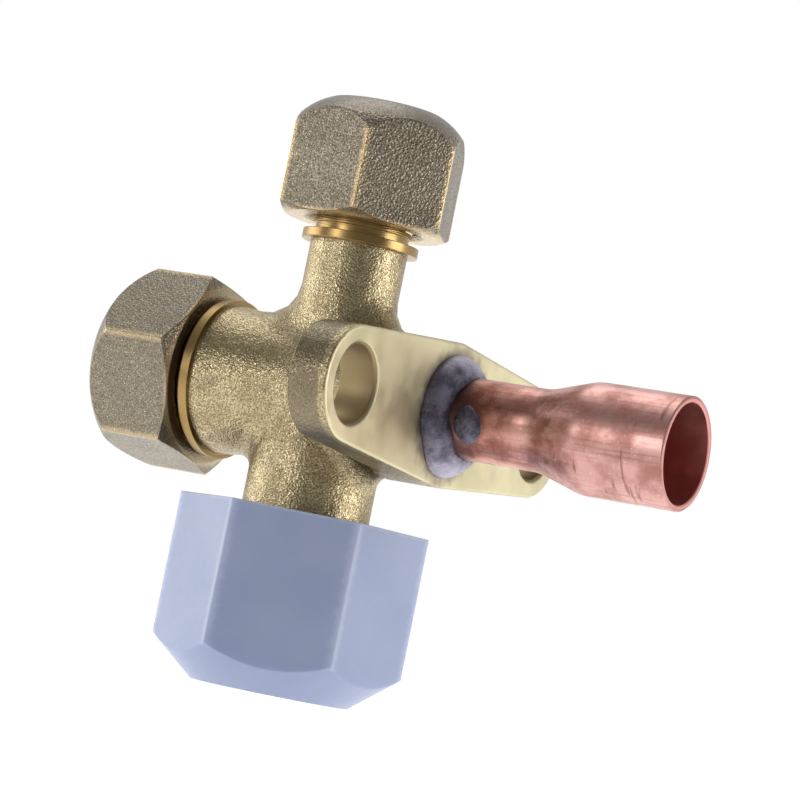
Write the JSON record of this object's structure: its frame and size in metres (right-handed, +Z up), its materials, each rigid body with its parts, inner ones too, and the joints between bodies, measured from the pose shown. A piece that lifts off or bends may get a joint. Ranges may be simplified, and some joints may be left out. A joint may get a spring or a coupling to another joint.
{
  "type": "refrigerant service valve",
  "caption": "Angle service valve with a capped hexagon-key stem, a capped charging port, a flare port under a plastic cap, a bolt flange and an expanded copper stub.",
  "frame": {"origin": "centre of the flange's tube-side face, on the line of the copper stub", "axes": "+X along the copper stub away from the body, +Y along the line of the two bolt holes, +Z up the service port"},
  "size_m": [0.063, 0.0492, 0.0588],
  "materials": {
    "forged_brass": "forged and blasted skin, bright where machined",
    "cap_brass": "blasted and tarnished flats, bright edges",
    "turned_brass": "bright turned",
    "copper": "soft copper tube, scuffed and mottled",
    "braze": "dark oxidised braze metal",
    "spring_steel": "bright drawn steel",
    "black_rubber": "matt",
    "white_gasket": "waxy white",
    "blue_grey_plastic": "matt moulded, slightly translucent"
  },
  "bodies": {
    "valve": {"valve_body": "forged_brass", "copper_tube": "copper", "braze_ring": "braze", "stem_retaining_ring": "spring_steel", "core_plug": "turned_brass", "core_barrel": "turned_brass", "core_gasket": "white_gasket", "core_spring": "spring_steel"},
    "stem_packing": {"stem_o_ring": "black_rubber"},
    "stem": {"stem": "turned_brass"},
    "stem_cap_washer": {"stem_cap_seal": "black_rubber"},
    "stem_cap": {"stem_cap": "cap_brass"},
    "service_cap_washer": {"service_cap_seal": "black_rubber"},
    "service_cap": {"service_cap": "cap_brass"},
    "flare_cap": {"flare_cap": "blue_grey_plastic"},
    "core_plunger": {"core_pin": "spring_steel", "core_collar": "turned_brass", "core_poppet": "turned_brass", "core_poppet_seal": "black_rubber"}
  },
  "joints": [
    {"name": "stem_travel", "type": "slide", "parent": "valve", "child": "stem_packing", "axis": [-1, 0, 0], "range_m": [0, 0.0044]},
    {"name": "stem_turn", "type": "hinge", "parent": "stem_packing", "child": "stem", "pos_m": [0, 0, 0], "axis": [-1, 0, 0], "range_deg": [0, 1585]},
    {"name": "stem_cap_travel", "type": "slide", "parent": "valve", "child": "stem_cap_washer", "axis": [-1, 0, 0], "range_m": [0, 0.012]},
    {"name": "stem_cap_turn", "type": "hinge", "parent": "stem_cap_washer", "child": "stem_cap", "pos_m": [0, 0, 0], "axis": [-1, 0, 0], "range_deg": [0, 4321]},
    {"name": "service_cap_travel", "type": "slide", "parent": "valve", "child": "service_cap_washer", "axis": [0, 0, 1], "range_m": [0, 0.01397]},
    {"name": "service_cap_turn", "type": "hinge", "parent": "service_cap_washer", "child": "service_cap", "pos_m": [-0.0138, 0, 0], "axis": [0, 0, 1], "range_deg": [0, 3961]},
    {"name": "flare_cap_pull", "type": "slide", "parent": "valve", "child": "flare_cap", "axis": [0, 0, -1], "range_m": [0, 0.02]},
    {"name": "core_press", "type": "slide", "parent": "valve", "child": "core_plunger", "axis": [0, 0, -1], "range_m": [0, 0.0012], "stiffness_N_per_m": 1500, "springref_m": -0.0013, "deforming": ["core_spring"]}
  ],
  "couplings": [
    {"joint": "stem_turn", "follows": "stem_travel", "rad_per_m": 6283.2},
    {"joint": "stem_cap_turn", "follows": "stem_cap_travel", "rad_per_m": 6283.2},
    {"joint": "service_cap_turn", "follows": "service_cap_travel", "rad_per_m": 4947.4}
  ]
}
